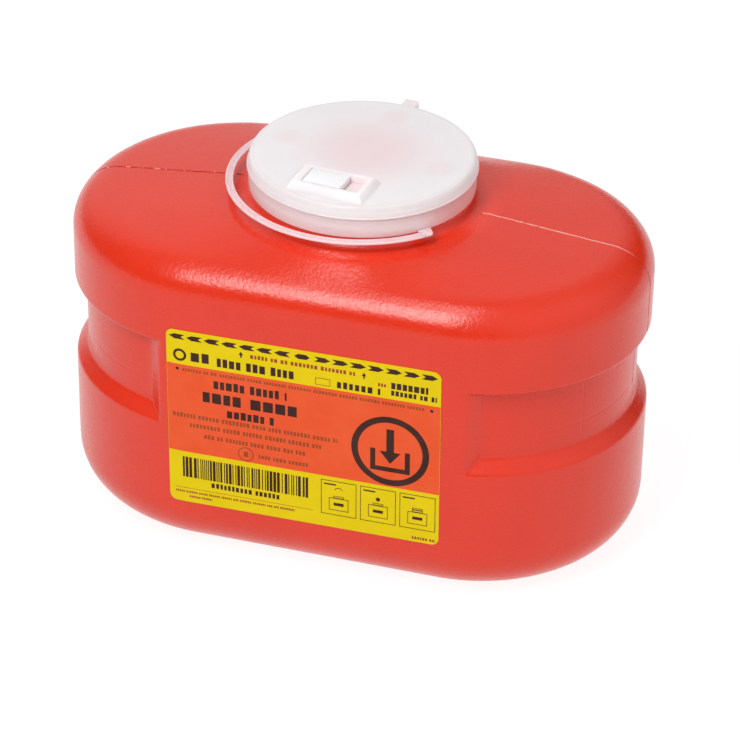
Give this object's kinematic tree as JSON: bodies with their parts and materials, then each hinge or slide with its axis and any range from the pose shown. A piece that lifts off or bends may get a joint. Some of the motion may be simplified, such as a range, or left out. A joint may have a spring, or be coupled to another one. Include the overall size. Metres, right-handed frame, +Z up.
{
  "type": "sharps container",
  "caption": "Oval red sharps container with a funnel collar, a tethered snap cap with a slide lock, and a label panel between end grip recesses.",
  "frame": {"origin": "centre of the base, on the surface that the bottle stands on", "axes": "+X along the bottle's length, +Y from the label side to the back, +Z up through the neck"},
  "size_m": [0.23, 0.1313, 0.1563],
  "materials": {
    "red_bottle": "red blow-moulded polyethylene, satin with a fine orange-peel grain",
    "natural_collar": "milky translucent natural polypropylene, satin",
    "natural_cap": "milky translucent natural polypropylene, satin",
    "white_slide": "natural polypropylene, satin",
    "natural_strap": "milky translucent natural polypropylene, satin",
    "label_film": "printed film label, satin"
  },
  "bodies": {
    "bottle": {"container_body": "red_bottle", "funnel_collar": "natural_collar", "tether_strap": "natural_strap", "front_label": "label_film"},
    "lid": {"cap": "natural_cap"},
    "slide": {"lock_slide": "white_slide"}
  },
  "joints": [
    {"name": "cap_hinge", "type": "hinge", "parent": "bottle", "child": "lid", "pos_m": [0.00491, 0.04674, 0.1488], "axis": [-0.9945, 0.1045, 0], "range_deg": [0, 110]},
    {"name": "lock_travel", "type": "slide", "parent": "lid", "child": "slide", "axis": [0.9945, -0.1045, 0], "range_m": [0, 0.0064]}
  ]
}
